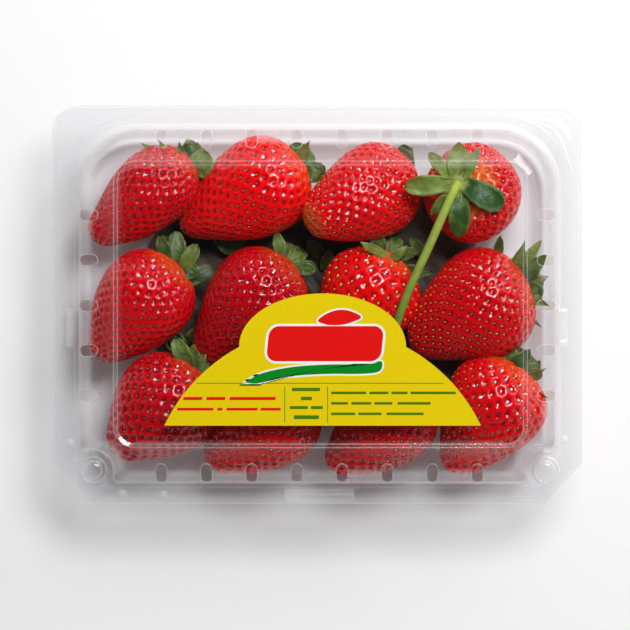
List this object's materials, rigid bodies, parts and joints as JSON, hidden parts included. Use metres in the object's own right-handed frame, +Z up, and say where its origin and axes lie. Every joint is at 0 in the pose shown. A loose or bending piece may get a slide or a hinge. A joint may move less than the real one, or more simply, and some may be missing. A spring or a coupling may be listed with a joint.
{
  "type": "punnet of strawberries",
  "caption": "Shallow clear plastic punnet with a hinged vented lid, holding one layer of large red strawberries under a plain yellow label.",
  "frame": {"origin": "on the ground under the middle of the pack", "axes": "+X along the length, +Y towards the hinge at the back, +Z up"},
  "size_m": [0.2172, 0.1636, 0.0519],
  "materials": {
    "clear_tray": "clear thin pressed sheet, glossy",
    "clear_lid": "clear thin pressed sheet, glossy",
    "label_paper": "satin printed paper, yellow",
    "berry_skin": "glossy pitted red skin with green leaves"
  },
  "bodies": {
    "tray": {"tray": "clear_tray", "berries": "berry_skin"},
    "lid": {"lid": "clear_lid", "label": "label_paper"}
  },
  "joints": [
    {"name": "lid_hinge", "type": "hinge", "parent": "tray", "child": "lid", "pos_m": [0, 0.0814, 0.03355], "axis": [-1, 0, 0], "range_deg": [0, 180]}
  ]
}
